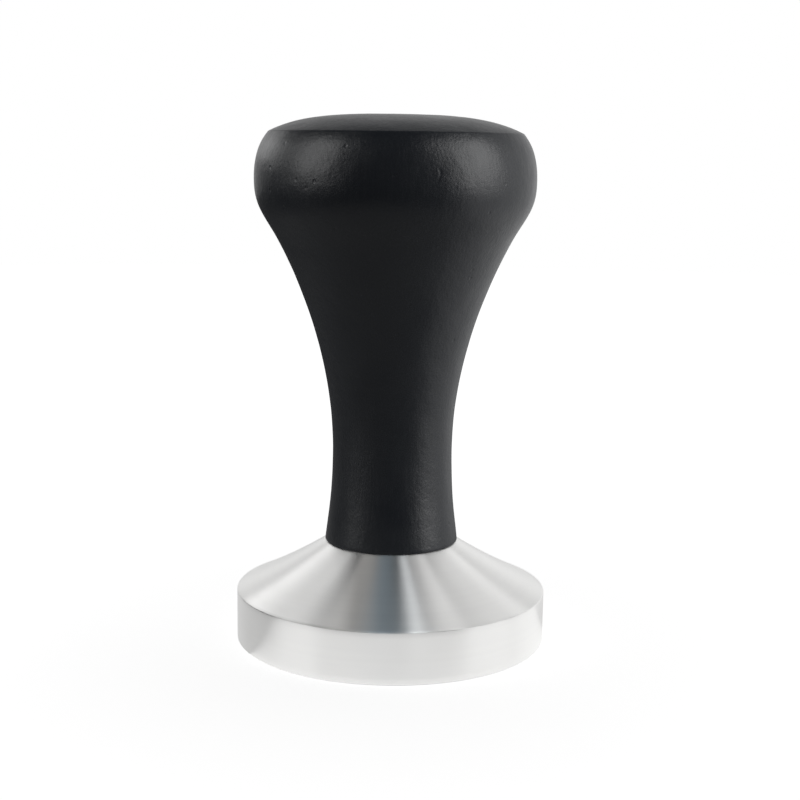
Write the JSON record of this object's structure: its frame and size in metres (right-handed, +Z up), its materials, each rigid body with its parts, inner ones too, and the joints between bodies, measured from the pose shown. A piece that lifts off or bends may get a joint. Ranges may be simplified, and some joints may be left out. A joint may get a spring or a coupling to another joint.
{
  "type": "espresso tamper",
  "caption": "Flat-faced espresso tamper: round aluminium base with a short rim and a conical shoulder, and a turned wooden handle that unscrews from it.",
  "frame": {"origin": "centre of the tamping face, the flat underside of the base, which is also the bottom centre of the bounding box", "axes": "+Z up the common axis of base, stud, insert and handle, towards the handle's domed top; X and Y lie in the tamping face and are interchangeable, because the tamper is round"},
  "size_m": [0.051, 0.051, 0.086],
  "materials": {
    "turned_aluminium": "fine turned, satin",
    "zinc_plated_steel": "bright zinc plated",
    "brass": "as machined",
    "black_lacquered_wood": "black satin lacquer over fine-grained wood"
  },
  "bodies": {
    "base": {"base": "turned_aluminium"},
    "screw_carriage": {"insert": "brass"},
    "handle": {"handle": "black_lacquered_wood", "stud": "zinc_plated_steel"}
  },
  "joints": [
    {"name": "screw_rise", "type": "slide", "parent": "base", "child": "screw_carriage", "axis": [0, 0, 1], "range_m": [0, 0.0101]},
    {"name": "handle_unscrew", "type": "hinge", "parent": "screw_carriage", "child": "handle", "pos_m": [0, 0, 0.01655], "axis": [0, 0, 1], "range_deg": [0, 2880]}
  ],
  "couplings": [
    {"joint": "screw_rise", "follows": "handle_unscrew", "m_per_rad": 0.00019894}
  ]
}
